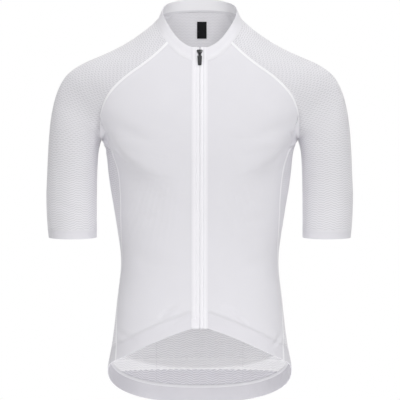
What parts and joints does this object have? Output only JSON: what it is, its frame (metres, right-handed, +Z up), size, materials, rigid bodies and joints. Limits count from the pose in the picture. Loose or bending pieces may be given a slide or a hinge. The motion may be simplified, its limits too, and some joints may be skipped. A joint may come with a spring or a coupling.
{
  "type": "cycling jersey",
  "caption": "Short-sleeved cycling jersey with raglan sleeves, stand collar, full-length front zip, drop-tail hem and rear pockets, hollow and filled out as if worn.",
  "frame": {"origin": "between the shoulders, level with the point where the shoulder line meets the collar", "axes": "+Z up, front facing -Y, +X towards the wearer's left"},
  "size_m": [0.566, 0.2408, 0.7625],
  "materials": {
    "body_cloth": "smooth warp knit, matt with a faint sheen",
    "mesh_cloth": "fine zigzag mesh knit, matt",
    "band_cloth": "dense elastic knit, matt",
    "zip_tape": "woven tape, matt",
    "zip_teeth": "satin nylon coil",
    "slider_metal": "black lacquer, satin",
    "pull_rubber": "matt dark grey",
    "label": "satin woven ribbon, black and bare"
  },
  "bodies": {
    "jersey": {"front_left": "body_cloth", "front_right": "body_cloth", "back": "mesh_cloth", "sleeve_left": "mesh_cloth", "sleeve_right": "mesh_cloth", "cuff_left": "band_cloth", "cuff_right": "band_cloth", "collar": "band_cloth", "hem_front_left": "band_cloth", "hem_front_right": "band_cloth", "hem_back": "band_cloth", "pocket_left": "body_cloth", "pocket_centre": "body_cloth", "pocket_right": "body_cloth", "zip_tape_left": "zip_tape", "zip_tape_right": "zip_tape", "zip_chain": "zip_teeth", "zip_slider": "slider_metal", "neck_label": "label"},
    "pull_tab": {"zip_pull": "pull_rubber"}
  },
  "joints": [
    {"name": "pull_tab_hinge", "type": "hinge", "parent": "jersey", "child": "pull_tab", "pos_m": [0, -0.07892, -0.05792], "axis": [-1, 0, 0], "range_deg": [0, 160]}
  ]
}
